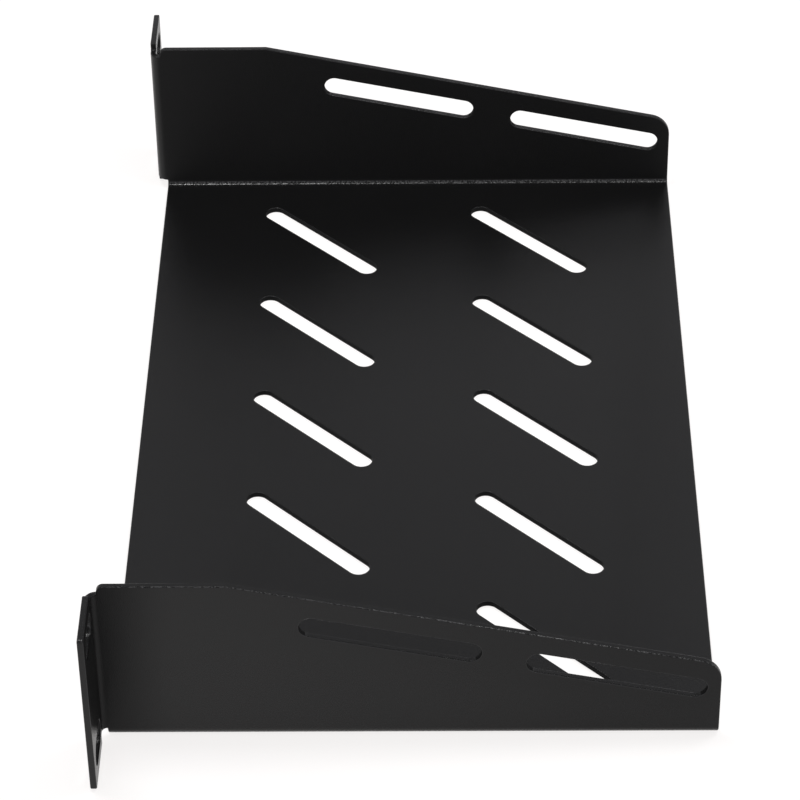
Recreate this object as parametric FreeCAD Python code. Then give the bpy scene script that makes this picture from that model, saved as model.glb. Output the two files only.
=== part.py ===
import FreeCAD, Part
import math
import os

# A shelf for a 10 inch rack, folded from one steel sheet: a slotted deck, a tapered wall on each
# side, and an ear at the front of each wall that screws to the rack posts.
# X runs across the shelf, Y from the ears to the back, Z up. The origin is the middle of the four
# ear holes, on the ears' rear face, which bears on the posts. Lengths are in millimetres.

# Sheet and folds
sheet = 1.5
bend_radius = 1.2

# Ears, to the rack's standard width and hole spacing
ear_span = 254.0
ear_reach = 17.3
ear_height = 44.2
ear_corner = 0.8
hole_from_end = 8.75
hole_spacing_z = 31.75
hole_length = 12.0
hole_width = 6.5

# Deck, with its depth and setback counted from the ears' front face
depth = 140.0
deck_setback = 2.7
deck_below_holes = 22.5

# Side walls, with heights counted from the underside of the deck
wall_height = 44.8
wall_rear_height = 21.5
wall_level_length = 31.2
wall_front_corner = 1.6
wall_rear_corner = 6.0

# Notches that free the two ends of each ear's fold
notch_depth = 2.3
notch_ear_length = 1.0
notch_corner = 0.5

# The slots in the deck and the walls, all of one size
slot_length = 40.9
slot_width = 5.3

# Deck slots, in rows across X and columns along Y, spread between the outermost slots' middles
deck_slot_angle = 45.0
deck_slot_rows = 5
deck_slot_from_wall = 28.7
deck_slot_columns = 2
deck_slot_from_front = 45.5
deck_slot_from_rear = 38.8

# Wall slots, in a line parallel to the sloping top edge and counted from its rear end
wall_slots = 2
wall_slot_below_edge = 8.0
wall_slot_from_rear = 22.0
wall_slot_pitch = 51.3

# Planes and bend lines that follow from the sizes above
bend_outside = bend_radius + sheet
front = -sheet
rear = front + depth
deck_front = front + deck_setback
deck_bottom = -deck_below_holes
wall_foot = deck_bottom + bend_outside
wall_top = deck_bottom + wall_height
wall_rear_top = deck_bottom + wall_rear_height
slope_start = front + wall_level_length
slope = math.atan2(wall_top - wall_rear_top, rear - slope_start)
wall_out = ear_span / 2 - ear_reach
wall_in = wall_out - sheet
ear_start = wall_out + bend_radius
ear_end = ear_span / 2
hole_x = ear_end - hole_from_end
hole_z = hole_spacing_z / 2
ear_top = ear_height / 2
ear_bottom = -ear_height / 2
fold_top = wall_top - notch_depth
fold_bottom = wall_foot
clear = 2 * sheet


def vector(x, y, z):
    return FreeCAD.Vector(x, y, z)


def plan(a, b):
    """A point of an outline drawn in plan, as X and Y."""
    return vector(a, b, 0)


def side(a, b):
    """A point of an outline drawn from the side, as Y and Z."""
    return vector(0, a, b)


def face_on(a, b):
    """A point of an outline drawn from the front, as X and Z."""
    return vector(a, 0, b)


def outline(view, corners):
    """A flat face from corners (a, b) or (a, b, radius), rounded by tangent arcs."""
    points = [view(corner[0], corner[1]) for corner in corners]
    radii = [corner[2] if len(corner) > 2 else 0.0 for corner in corners]
    starts, ends, arcs = [], [], []
    for i, (point, radius) in enumerate(zip(points, radii)):
        to_last = (points[i - 1] - point).normalize()
        to_next = (points[(i + 1) % len(points)] - point).normalize()
        half = to_last.getAngle(to_next) / 2
        tangent = radius / math.tan(half)
        starts.append(point + to_last * tangent)
        ends.append(point + to_next * tangent)
        if radius > 0:
            bisector = (to_last + to_next).normalize()
            middle = point + bisector * (radius / math.sin(half) - radius)
            arcs.append(Part.Arc(starts[i], middle, ends[i]).toShape())
        else:
            arcs.append(None)
    edges = []
    for i in range(len(points)):
        if arcs[i]:
            edges.append(arcs[i])
        edges.append(Part.LineSegment(ends[i], starts[(i + 1) % len(points)]).toShape())
    return Part.Face(Part.Wire(edges))


def quarter_fold(view, centre_a, centre_b, turn_a, turn_b):
    """The section of a 90 degree fold about a centre, in the quarter that the two signs give."""
    def at(radius, angle):
        a = centre_a + turn_a * radius * math.cos(angle)
        b = centre_b + turn_b * radius * math.sin(angle)
        return view(a, b)

    quarter = math.pi / 2
    outside = Part.Arc(at(bend_outside, 0), at(bend_outside, quarter / 2), at(bend_outside, quarter))
    inside = Part.Arc(at(bend_radius, quarter), at(bend_radius, quarter / 2), at(bend_radius, 0))
    edges = [
        outside.toShape(),
        Part.LineSegment(at(bend_outside, quarter), at(bend_radius, quarter)).toShape(),
        inside.toShape(),
        Part.LineSegment(at(bend_radius, 0), at(bend_outside, 0)).toShape(),
    ]
    return Part.Face(Part.Wire(edges))


def slot_face(view, centre_a, centre_b, angle, length, width):
    """The round-ended outline of a slot, turned by an angle about its centre."""
    radius = width / 2
    half = length / 2 - radius
    along_a, along_b = math.cos(angle), math.sin(angle)

    def at(along, across):
        a = centre_a + along * along_a - across * along_b
        b = centre_b + along * along_b + across * along_a
        return view(a, b)

    edges = [
        Part.LineSegment(at(-half, -radius), at(half, -radius)).toShape(),
        Part.Arc(at(half, -radius), at(half + radius, 0), at(half, radius)).toShape(),
        Part.LineSegment(at(half, radius), at(-half, radius)).toShape(),
        Part.Arc(at(-half, radius), at(-half - radius, 0), at(-half, -radius)).toShape(),
    ]
    return Part.Face(Part.Wire(edges))


def extrude(face, x=0, y=0, z=0):
    return face.extrude(vector(x, y, z))


def shifted(shape, x=0, y=0, z=0):
    moved = shape.copy()
    moved.translate(vector(x, y, z))
    return moved


def make_deck():
    """The flat floor between the side folds."""
    half_width = wall_out - bend_outside
    floor = outline(plan, [
        (-half_width, deck_front),
        (half_width, deck_front),
        (half_width, rear),
        (-half_width, rear),
    ])
    return extrude(shifted(floor, z=deck_bottom), z=sheet)


def make_side_fold():
    """The fold from the deck up into the wall."""
    section = quarter_fold(face_on, wall_out - bend_outside, wall_foot, 1, -1)
    return extrude(shifted(section, y=deck_front), y=rear - deck_front)


def make_wall():
    """The side wall, level behind the ear and then falling to the back."""
    profile = outline(side, [
        (bend_radius, wall_foot),
        (bend_radius, wall_top, wall_front_corner),
        (slope_start, wall_top),
        (rear, wall_rear_top, wall_rear_corner),
        (rear, wall_foot),
    ])
    return extrude(shifted(profile, x=wall_in), x=sheet)


def make_ear_fold():
    """The fold from the wall out into the ear, ending short of the ear at its top and bottom."""
    section = quarter_fold(plan, ear_start, bend_radius, -1, -1)
    return extrude(shifted(section, z=fold_bottom), z=fold_top - fold_bottom)


def make_ear():
    """The ear that lies on the rack post, notched beside its fold."""
    notch_end = ear_start + notch_ear_length
    profile = outline(face_on, [
        (ear_start, fold_bottom),
        (notch_end, fold_bottom, notch_corner),
        (notch_end, ear_bottom, notch_corner),
        (ear_end, ear_bottom, ear_corner),
        (ear_end, ear_top, ear_corner),
        (notch_end, ear_top, notch_corner),
        (notch_end, fold_top, notch_corner),
        (ear_start, fold_top),
    ])
    return extrude(shifted(profile, y=front), y=sheet)


def deck_slot_cuts():
    """The slanted slots in the deck, in even rows and columns."""
    cuts = []
    last_x = wall_out - deck_slot_from_wall
    first_y = front + deck_slot_from_front
    last_y = rear - deck_slot_from_rear
    for row in range(deck_slot_rows):
        x = -last_x + 2 * last_x * row / (deck_slot_rows - 1)
        for column in range(deck_slot_columns):
            y = first_y + (last_y - first_y) * column / (deck_slot_columns - 1)
            face = slot_face(plan, x, y, math.radians(deck_slot_angle), slot_length, slot_width)
            cuts.append(extrude(shifted(face, z=deck_bottom - clear), z=sheet + 2 * clear))
    return cuts


def wall_slot_cuts():
    """The slots along the sloping edge, each cut straight through both walls."""
    cuts = []
    reach = wall_out + clear
    for i in range(wall_slots):
        back = wall_slot_from_rear + i * wall_slot_pitch
        y = rear - back * math.cos(slope) - wall_slot_below_edge * math.sin(slope)
        z = wall_rear_top + back * math.sin(slope) - wall_slot_below_edge * math.cos(slope)
        face = slot_face(side, y, z, -slope, slot_length, slot_width)
        cuts.append(extrude(shifted(face, x=-reach), x=2 * reach))
    return cuts


def ear_hole_cuts():
    """The four screw holes through the ears, long enough to take up the rack's tolerance."""
    cuts = []
    for x in (-hole_x, hole_x):
        for z in (-hole_z, hole_z):
            face = slot_face(face_on, x, z, 0, hole_length, hole_width)
            cuts.append(extrude(shifted(face, y=front - clear), y=sheet + 2 * clear))
    return cuts


def make_shelf():
    """The folded sheet, with everything that is punched from it."""
    right_side = [make_side_fold(), make_wall(), make_ear_fold(), make_ear()]
    left_side = [piece.mirror(vector(0, 0, 0), vector(1, 0, 0)) for piece in right_side]
    folded = make_deck().fuse(right_side + left_side)
    punched = folded.cut(deck_slot_cuts() + wall_slot_cuts() + ear_hole_cuts())
    return punched.removeSplitter()


os.makedirs("parts", exist_ok=True)
shelf = make_shelf()
shelf.exportStep("parts/folded_shelf.step")
print("solids", len(shelf.Solids), "valid", shelf.isValid(), "volume", round(shelf.Volume, 1))
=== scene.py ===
import math
from types import SimpleNamespace
import bpy
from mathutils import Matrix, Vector


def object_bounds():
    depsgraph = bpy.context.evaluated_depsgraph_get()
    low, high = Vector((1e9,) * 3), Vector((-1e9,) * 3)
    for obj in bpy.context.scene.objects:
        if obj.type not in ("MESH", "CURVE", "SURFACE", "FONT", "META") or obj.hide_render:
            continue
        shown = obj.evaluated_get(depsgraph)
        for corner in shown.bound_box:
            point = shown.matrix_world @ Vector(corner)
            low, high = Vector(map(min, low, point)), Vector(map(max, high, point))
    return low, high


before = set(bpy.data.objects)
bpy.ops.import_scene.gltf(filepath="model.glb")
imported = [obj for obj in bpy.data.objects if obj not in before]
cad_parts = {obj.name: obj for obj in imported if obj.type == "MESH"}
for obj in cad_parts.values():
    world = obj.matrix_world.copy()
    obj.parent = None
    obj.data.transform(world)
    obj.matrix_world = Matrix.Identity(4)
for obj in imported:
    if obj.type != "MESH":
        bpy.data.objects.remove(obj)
cad_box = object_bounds()
lowest, highest = cad_box
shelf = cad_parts["folded_shelf"]
scene = bpy.context.scene

# X runs across the shelf, Y from the ears to the back and Z up. Lengths are in metres.
# Sizes of the folded sheet
SHEET = 0.0015
EAR_REACH = 0.0173
WALL_LEVEL_LENGTH = 0.0312
WALL_REAR_HEIGHT = 0.0215

# Planes of the sheet, worked out from the frame
EAR_REAR = lowest.y + SHEET
DECK_TOP = lowest.z + SHEET
WALL_OUT = highest.x - EAR_REACH
WALL_FALL_START = lowest.y + WALL_LEVEL_LENGTH
WALL_FALL = highest.z - lowest.z - WALL_REAR_HEIGHT
WALL_SLOPE = WALL_FALL / (highest.y - WALL_FALL_START)

# Bands along the edges and the deck's folds that take in their rounding
TOP_BAND = 0.003
REAR_BAND = 0.001
SIDE_BAND = 0.0005
FOLD_HEIGHT = 0.003
FOLD_WIDTH = 0.0047
FOLD_TOP = DECK_TOP + FOLD_HEIGHT
DECK_HALF = WALL_OUT - FOLD_WIDTH

# Joining, shading and rounding of the mesh's edges
WELD = 0.000001
FLAT_ANGLE = math.radians(0.5)
SMOOTH_ANGLE = math.radians(35)
EDGE_ANGLE = math.radians(40)
EDGE_ROUND = 0.0003
EDGE_SEGMENTS = 3

# Limits on one part of a face's normal, from 0 to 1, where a pair is a span
HALF_TURNED = 0.5
SLOT_FLAT = 0.97
EAR_FLAT = 0.8
EDGE_FLAT = 0.3
WALL_FLAT = (0.9, 1.0)
UPRIGHT_TO_LEVEL = (0.1, 0.8)
BENT_FROM = (0.3, 0.65)
BENT_UNTIL = (0.88, 0.99)
RIM_TURN = (0.1, 0.5)
BACK_TURN = (0.0, 0.5)

# Colour of the coat, and its noises, whose scale is in cycles a metre
COAT_DARK = (0.005, 0.005, 0.0052, 1)
COAT_LIGHT = (0.0074, 0.0073, 0.0073, 1)
DRIFT_NOISE = {"Scale": 26.0, "Detail": 3.0, "Roughness": 0.6}
GRAIN_NOISE = {"Scale": 5500.0, "Detail": 1.0, "Roughness": 0.5}
SPECK_NOISE = {"Scale": 2000.0, "Detail": 0.0}
SPECK_SPAN = (0.39, 0.63)

# Specular level of the coat, where a pair is the two ends of a smooth change and a span is along Y
DECK_SHINE = 0.265
# On the walls the shine falls towards the back: painted shade, where the light falls off along the shelf
OUTER_WALL_SHINE = (0.254, 0.174)
OUTER_WALL_SPAN = (0.0, 0.15)
INNER_WALL_SHINE = (0.182, 0.135)
INNER_WALL_SPAN = (0.0, 0.14)
INNER_BEND_SHINE = 0.2
# The lower shine on the falling edges' tops, as they turn to the back, is painted shade
REAR_EDGE_SHINE = 0.1
RIM_SHINE = (0.21, 0.4)
# Shine of the grain's glints: the grain is the coat's own, but keeping its glints to the folds and
# outward edges is painted highlight
GLINT_SHINE = (0.18, 0.92)
# Dulled shine on the cut sides and behind the ears, which is painted shade
PAINTED_SHADE_SHINE = 0.07

# Painted shade in the corners behind the ears: how much their shine is dulled, from 0 to 1, and how far
# that reaches
CORNER_SHADE = 0.7
CORNER_REACH = 0.018

# Roughness and bump of the coat
DECK_ROUGH = 0.16
WALL_ROUGH = 0.3
INNER_WALL_ROUGH = 0.6
EAR_ROUGH = 0.24
BENT_ROUGH = 0.18
CUT_ROUGH = 0.65
GRAIN_ROUGH = 0.1
GRAIN_HEIGHT = 0.00005
FLAT_BUMP = 1.0
BENT_BUMP = 0.4

# Floor, as paint that lights the shelf and as the camera and reflections see it
FLOOR_SIZE = 8
FLOOR_PAINT = (0.8, 0.8, 0.8, 1)
FLOOR_SEEN = (0.26, 0.26, 0.26, 1)
FLOOR_GLOW = (1.0, 0.98, 0.97, 1)
FLOOR_GLOW_STRENGTH = 0.81

# Sky, whose strength is the product of three smooth changes. Each has the span that one part of the
# direction crosses, and then its own two ends.
SKY_COLOUR = (0.975, 0.97, 1.0, 1)
SKY_TO_OVERHEAD = ((0.46, 0.86), (0.725, 0.31))
SKY_TO_BACK = ((-0.14, 0.14), (0.88, 1.1))
SKY_TO_RIGHT = ((-0.2, 0.5), (1.0, 1.35))

# Square lamps above the shelf, with their power in watts
KEY_LIGHT = {"place": (-0.04, -0.14, 0.78), "aim": (0.0, -0.02, 0.0), "size": 0.24, "power": 2.3}
FILL_LIGHT = {"place": (-0.02, 0.34, 0.75), "aim": (0.0, 0.08, 0.0), "size": 0.18, "power": 1.45}

# The photograph's view, with the sensor and lens in millimetres and the turn in degrees
SENSOR_WIDTH = 36.0
LENS = 153.28
CAMERA_PLACE = (0.66651, 0.07838, 0.51002)
CAMERA_TURN = (51.919, 0.7227, 90.4901)


class Graph:
    """Adds nodes to a node tree.

    A value is a socket or a number. A mask is a value from 0, outside a region, to 1, inside it, so
    the product of masks is where they all hold.
    """

    def __init__(self, tree):
        self.tree = tree

    def feed(self, socket, value):
        """Link a socket to another, or set it to a number or a colour."""
        if isinstance(value, bpy.types.NodeSocket):
            self.tree.links.new(value, socket)
        else:
            socket.default_value = value

    def add(self, kind, **settings):
        """A new node, with its properties set, or its inputs fed where a name isn't a property."""
        new = self.tree.nodes.new(kind)
        for name, value in settings.items():
            if hasattr(new, name):
                setattr(new, name, value)
            else:
                self.feed(new.inputs[name], value)
        return new

    def maths(self, operation, *values):
        """The result of a Math node."""
        new = self.add("ShaderNodeMath", operation=operation)
        for socket, value in zip(new.inputs, values):
            self.feed(socket, value)
        return new.outputs[0]

    def product(self, first, *others):
        """The product of two or more values."""
        for value in others:
            first = self.maths("MULTIPLY", first, value)
        return first

    def above(self, value, limit):
        """The mask of where a value is above a limit."""
        return self.maths("GREATER_THAN", value, limit)

    def below(self, value, limit):
        """The mask of where a value is below a limit."""
        return self.maths("LESS_THAN", value, limit)

    def either(self, a, b):
        """The mask of where at least one of two masks holds."""
        return self.maths("MAXIMUM", a, b)

    def outside(self, mask):
        """The mask of where another doesn't hold."""
        return self.maths("SUBTRACT", 1.0, mask)

    def size(self, value):
        """A value without its sign."""
        return self.maths("ABSOLUTE", value)

    def ramp(self, value, span, ends):
        """A smooth change from one end to the other while a value crosses a span."""
        new = self.add("ShaderNodeMapRange", interpolation_type="SMOOTHSTEP", Value=value)
        for name, number in zip(("From Min", "From Max", "To Min", "To Max"), (*span, *ends)):
            new.inputs[name].default_value = number
        return new.outputs["Result"]

    def blend(self, mask, without, within):
        """One value outside a mask and another inside it."""
        new = self.add("ShaderNodeMix", data_type="FLOAT", Factor=mask, A=without, B=within)
        return new.outputs["Result"]

    def split(self, vector):
        """The X, Y and Z parts of a vector."""
        new = self.add("ShaderNodeSeparateXYZ", Vector=vector)
        return new.outputs["X"], new.outputs["Y"], new.outputs["Z"]

    def noise(self, point, settings):
        """Smooth noise at a point, from 0 to 1."""
        return self.add("ShaderNodeTexNoise", Vector=point, **settings).outputs["Fac"]


def new_material(name):
    """An empty material, the graph of its nodes, and the socket for its surface."""
    material = bpy.data.materials.new(name)
    material.use_nodes = True
    material.node_tree.nodes.clear()
    graph = Graph(material.node_tree)
    output = graph.add("ShaderNodeOutputMaterial")
    return material, graph, output.inputs["Surface"]


def coat_spot(graph):
    """Where a point of the shelf is and which way it faces, both in the shelf's own frame."""
    place = graph.add("ShaderNodeTexCoord")
    x, y, z = graph.split(place.outputs["Object"])
    facing_x, facing_y, facing_z = graph.split(place.outputs["Normal"])
    return SimpleNamespace(
        point=place.outputs["Object"],
        x=x,
        y=y,
        z=z,
        side=graph.size(x),
        facing_x=facing_x,
        facing_y=facing_y,
        sideways=graph.size(facing_x),
        lengthways=graph.size(facing_y),
        level=graph.size(facing_z),
    )


def slot_regions(graph, spot):
    """Masks for the deck under its top face, the rims of the walls' slots, and the cut sides.

    The cut sides are the upright ones of the deck, and those at the ends of the walls' slots.
    """
    in_deck = graph.product(graph.below(spot.side, DECK_HALF), graph.below(spot.z, DECK_TOP))
    deck_cuts = graph.product(graph.below(spot.level, HALF_TURNED), in_deck)

    # The slots lie under the walls' falling edge, where all that isn't flat is a slot's rim
    drop = graph.product(graph.maths("SUBTRACT", spot.y, WALL_FALL_START), WALL_SLOPE)
    in_wall = graph.product(
        graph.above(spot.y, WALL_FALL_START),
        graph.below(spot.y, highest.y - REAR_BAND),
        graph.below(spot.z, graph.maths("SUBTRACT", highest.z - TOP_BAND, drop)),
        graph.above(spot.z, FOLD_TOP),
    )
    rims = graph.product(in_wall, graph.below(spot.sideways, SLOT_FLAT))
    slot_ends = graph.product(rims, graph.above(spot.lengthways, HALF_TURNED))
    return in_deck, rims, graph.either(deck_cuts, slot_ends)


def coat_regions(graph, spot):
    """Masks for the places where the coat differs."""
    in_deck, rims, cuts = slot_regions(graph, spot)
    outward = graph.above(graph.product(spot.x, spot.facing_x), 0.0)
    on_ear = graph.above(spot.lengthways, EAR_FLAT)
    wall_flat = graph.ramp(spot.sideways, WALL_FLAT, (0.0, 1.0))

    # Painted shade: the shine is dulled on the cut sides and in the corners behind the ears
    beside_wall = graph.product(
        graph.above(spot.side, WALL_OUT - SIDE_BAND),
        graph.below(spot.side, highest.x - SIDE_BAND),
        graph.outside(on_ear),
    )
    shade_behind_ear = graph.product(
        graph.above(spot.y, EAR_REAR - EDGE_ROUND),
        graph.ramp(spot.y, (EAR_REAR, EAR_REAR + CORNER_REACH), (CORNER_SHADE, 0.0)),
    )
    painted_shade = graph.either(cuts, graph.product(beside_wall, shade_behind_ear))

    # The deck's folds, and the rounded edges that look outward, apart from the slots' own: the grain
    # glints only here, which is partly painted highlight
    slanted = graph.product(
        graph.ramp(spot.level, BENT_FROM, (0.0, 1.0)),
        graph.ramp(spot.level, BENT_UNTIL, (1.0, 0.0)),
    )
    bent = graph.product(
        slanted,
        graph.outside(graph.either(rims, in_deck)),
        graph.either(outward, graph.below(spot.z, FOLD_TOP)),
    )

    # The walls' cut edges from where they start to fall
    falling_edge = graph.product(
        graph.below(spot.sideways, EDGE_FLAT),
        graph.above(spot.y, WALL_FALL_START),
        graph.above(spot.z, FOLD_TOP),
    )
    return SimpleNamespace(
        lying=graph.ramp(spot.level, UPRIGHT_TO_LEVEL, (0.0, 1.0)),
        outward=outward,
        inner_wall=graph.product(graph.outside(outward), wall_flat),
        on_ear=on_ear,
        rims=rims,
        cuts=cuts,
        painted_shade=painted_shade,
        bent=bent,
        falling_edge=falling_edge,
    )


def coat_shine(graph, spot, region):
    """Specular level, with painted shade and painted highlight: walls duller towards the back, falling
    edges duller as they turn back, grain glints kept to folds and outward edges, dulled cut sides and
    corners.
    """
    # Painted shade: the walls' shine falls towards the back
    outer_wall = graph.ramp(spot.y, OUTER_WALL_SPAN, OUTER_WALL_SHINE)
    inner_wall = graph.ramp(spot.y, INNER_WALL_SPAN, INNER_WALL_SHINE)
    wall = graph.blend(region.outward, INNER_BEND_SHINE, outer_wall)
    wall = graph.blend(region.inner_wall, wall, inner_wall)
    face = graph.blend(region.lying, wall, DECK_SHINE)
    # Painted shade: the falling edges' tops lose shine as they turn to the back
    edge = graph.ramp(spot.facing_y, BACK_TURN, (DECK_SHINE, REAR_EDGE_SHINE))
    face = graph.blend(region.falling_edge, face, edge)
    specks = graph.noise(spot.point, SPECK_NOISE)
    shine = graph.blend(region.bent, face, graph.ramp(specks, SPECK_SPAN, GLINT_SHINE))
    shine = graph.blend(region.rims, shine, graph.ramp(spot.sideways, RIM_TURN, RIM_SHINE))
    # Painted shade: the shine is dulled on the cut sides and behind the ears
    return graph.blend(region.painted_shade, shine, PAINTED_SHADE_SHINE)


def coat_roughness(graph, region, grain):
    """Roughness: least on the level deck, and most on the walls' inner faces and the cut sides."""
    wall = graph.blend(region.inner_wall, WALL_ROUGH, INNER_WALL_ROUGH)
    face = graph.blend(region.lying, wall, DECK_ROUGH)
    face = graph.blend(region.on_ear, face, EAR_ROUGH)
    face = graph.blend(region.bent, face, BENT_ROUGH)
    grained = graph.maths("MULTIPLY_ADD", grain, GRAIN_ROUGH, face)
    return graph.blend(region.cuts, grained, CUT_ROUGH)


def powder_coat():
    """Near-black satin powder coat: a fine grain that breaks up highlights, and slow changes of tone."""
    material, graph, surface = new_material("powder_coat_black")
    spot = coat_spot(graph)
    region = coat_regions(graph, spot)
    grain = graph.noise(spot.point, GRAIN_NOISE)
    drift = graph.noise(spot.point, DRIFT_NOISE)
    tone = graph.add("ShaderNodeMix", data_type="RGBA", Factor=drift, A=COAT_DARK, B=COAT_LIGHT)
    relief = graph.blend(region.bent, FLAT_BUMP, BENT_BUMP)
    bump = graph.add("ShaderNodeBump", Distance=GRAIN_HEIGHT, Strength=relief, Height=grain)
    coat = graph.add("ShaderNodeBsdfPrincipled")
    graph.feed(coat.inputs["Base Color"], tone.outputs["Result"])
    graph.feed(coat.inputs["Specular IOR Level"], coat_shine(graph, spot, region))
    graph.feed(coat.inputs["Roughness"], coat_roughness(graph, region, grain))
    graph.feed(coat.inputs["Normal"], bump.outputs["Normal"])
    graph.feed(surface, coat.outputs["BSDF"])
    return material


def smooth_by_angle(limit):
    """A node group that shades faces smooth and keeps edges sharper than the limit."""
    group = bpy.data.node_groups.new("smooth_by_angle", "GeometryNodeTree")
    for direction in ("INPUT", "OUTPUT"):
        group.interface.new_socket("Geometry", in_out=direction, socket_type="NodeSocketGeometry")
    graph = Graph(group)
    start = graph.add("NodeGroupInput")
    end = graph.add("NodeGroupOutput")
    angle = graph.add("GeometryNodeInputMeshEdgeAngle").outputs["Unsigned Angle"]
    gentle = graph.add("FunctionNodeCompare", operation="LESS_EQUAL", A=angle, B=limit)
    faces = graph.add("GeometryNodeSetShadeSmooth", Geometry=start.outputs[0])
    edges = graph.add("GeometryNodeSetShadeSmooth", domain="EDGE", Geometry=faces.outputs["Geometry"])
    graph.feed(edges.inputs["Shade Smooth"], gentle.outputs["Result"])
    graph.feed(end.inputs[0], edges.outputs["Geometry"])
    return group


def coat_shelf():
    """The shelf keeps its solid, with the coat's finish and its edges rounded as the coat rounds them."""
    shelf.data.materials.clear()
    shelf.data.materials.append(powder_coat())
    weld = shelf.modifiers.new("join_faces", "WELD")
    weld.merge_threshold = WELD
    flat = shelf.modifiers.new("plain_faces", "DECIMATE")
    flat.decimate_type = "DISSOLVE"
    flat.angle_limit = FLAT_ANGLE
    shade = shelf.modifiers.new("smooth_by_angle", "NODES")
    shade.node_group = smooth_by_angle(SMOOTH_ANGLE)
    bevel = shelf.modifiers.new("round_edges", "BEVEL")
    bevel.width = EDGE_ROUND
    bevel.segments = EDGE_SEGMENTS
    bevel.limit_method = "ANGLE"
    bevel.angle_limit = EDGE_ANGLE
    bevel.loop_slide = False
    bevel.use_clamp_overlap = False
    bevel.harden_normals = True


def floor_material():
    """A white floor that the camera and reflections see as white, and that keeps a soft shadow."""
    material, graph, surface = new_material("studio_floor")
    paint = graph.add("ShaderNodeBsdfDiffuse", Color=FLOOR_PAINT)
    seen = graph.add("ShaderNodeBsdfDiffuse", Color=FLOOR_SEEN)
    glow = graph.add("ShaderNodeEmission", Color=FLOOR_GLOW, Strength=FLOOR_GLOW_STRENGTH)
    bright = graph.add("ShaderNodeAddShader")
    graph.feed(bright.inputs[0], seen.outputs[0])
    graph.feed(bright.inputs[1], glow.outputs[0])
    ray = graph.add("ShaderNodeLightPath").outputs
    shown = graph.either(ray["Is Camera Ray"], ray["Is Glossy Ray"])
    shown = graph.either(shown, ray["Is Transmission Ray"])
    mix = graph.add("ShaderNodeMixShader", Fac=shown)
    graph.feed(mix.inputs[1], paint.outputs[0])
    graph.feed(mix.inputs[2], bright.outputs[0])
    graph.feed(surface, mix.outputs[0])
    return material


def add_floor():
    """A plain pale floor under the deck."""
    bpy.ops.mesh.primitive_plane_add(size=FLOOR_SIZE, location=(0, 0, lowest.z))
    floor = bpy.context.object
    floor.name = "floor"
    floor.data.materials.append(floor_material())


def studio_sky():
    """Soft light from all round, dimmer overhead and a little brighter to the back and the right."""
    world = bpy.data.worlds.new("studio")
    world.use_nodes = True
    graph = Graph(world.node_tree)
    right, back, up = graph.split(graph.add("ShaderNodeTexCoord").outputs["Generated"])
    strength = graph.product(
        graph.ramp(up, *SKY_TO_OVERHEAD),
        graph.ramp(back, *SKY_TO_BACK),
        graph.ramp(right, *SKY_TO_RIGHT),
    )
    background = world.node_tree.nodes["Background"]
    graph.feed(background.inputs["Color"], SKY_COLOUR)
    graph.feed(background.inputs["Strength"], strength)
    return world


def soft_light(name, place, aim, size, power):
    """A square lamp, as soft as it is large, that points at its aim."""
    data = bpy.data.lights.new(name, "AREA")
    data.shape = "SQUARE"
    data.size = size
    data.energy = power
    lamp = bpy.data.objects.new(name, data)
    scene.collection.objects.link(lamp)
    lamp.location = place
    lamp.rotation_euler = (Vector(aim) - Vector(place)).to_track_quat("-Z", "Y").to_euler()


def photo_camera():
    """A camera at the photograph's viewing angle."""
    data = bpy.data.cameras.new("camera")
    data.sensor_fit = "HORIZONTAL"
    data.sensor_width = SENSOR_WIDTH
    data.lens = LENS
    camera = bpy.data.objects.new("camera", data)
    scene.collection.objects.link(camera)
    camera.location = CAMERA_PLACE
    camera.rotation_euler = [math.radians(angle) for angle in CAMERA_TURN]
    return camera


coat_shelf()
add_floor()
scene.world = studio_sky()
soft_light("key", **KEY_LIGHT)
soft_light("fill", **FILL_LIGHT)
scene.camera = photo_camera()
scene.view_settings.view_transform = "Standard"

bpy.context.view_layer.update()
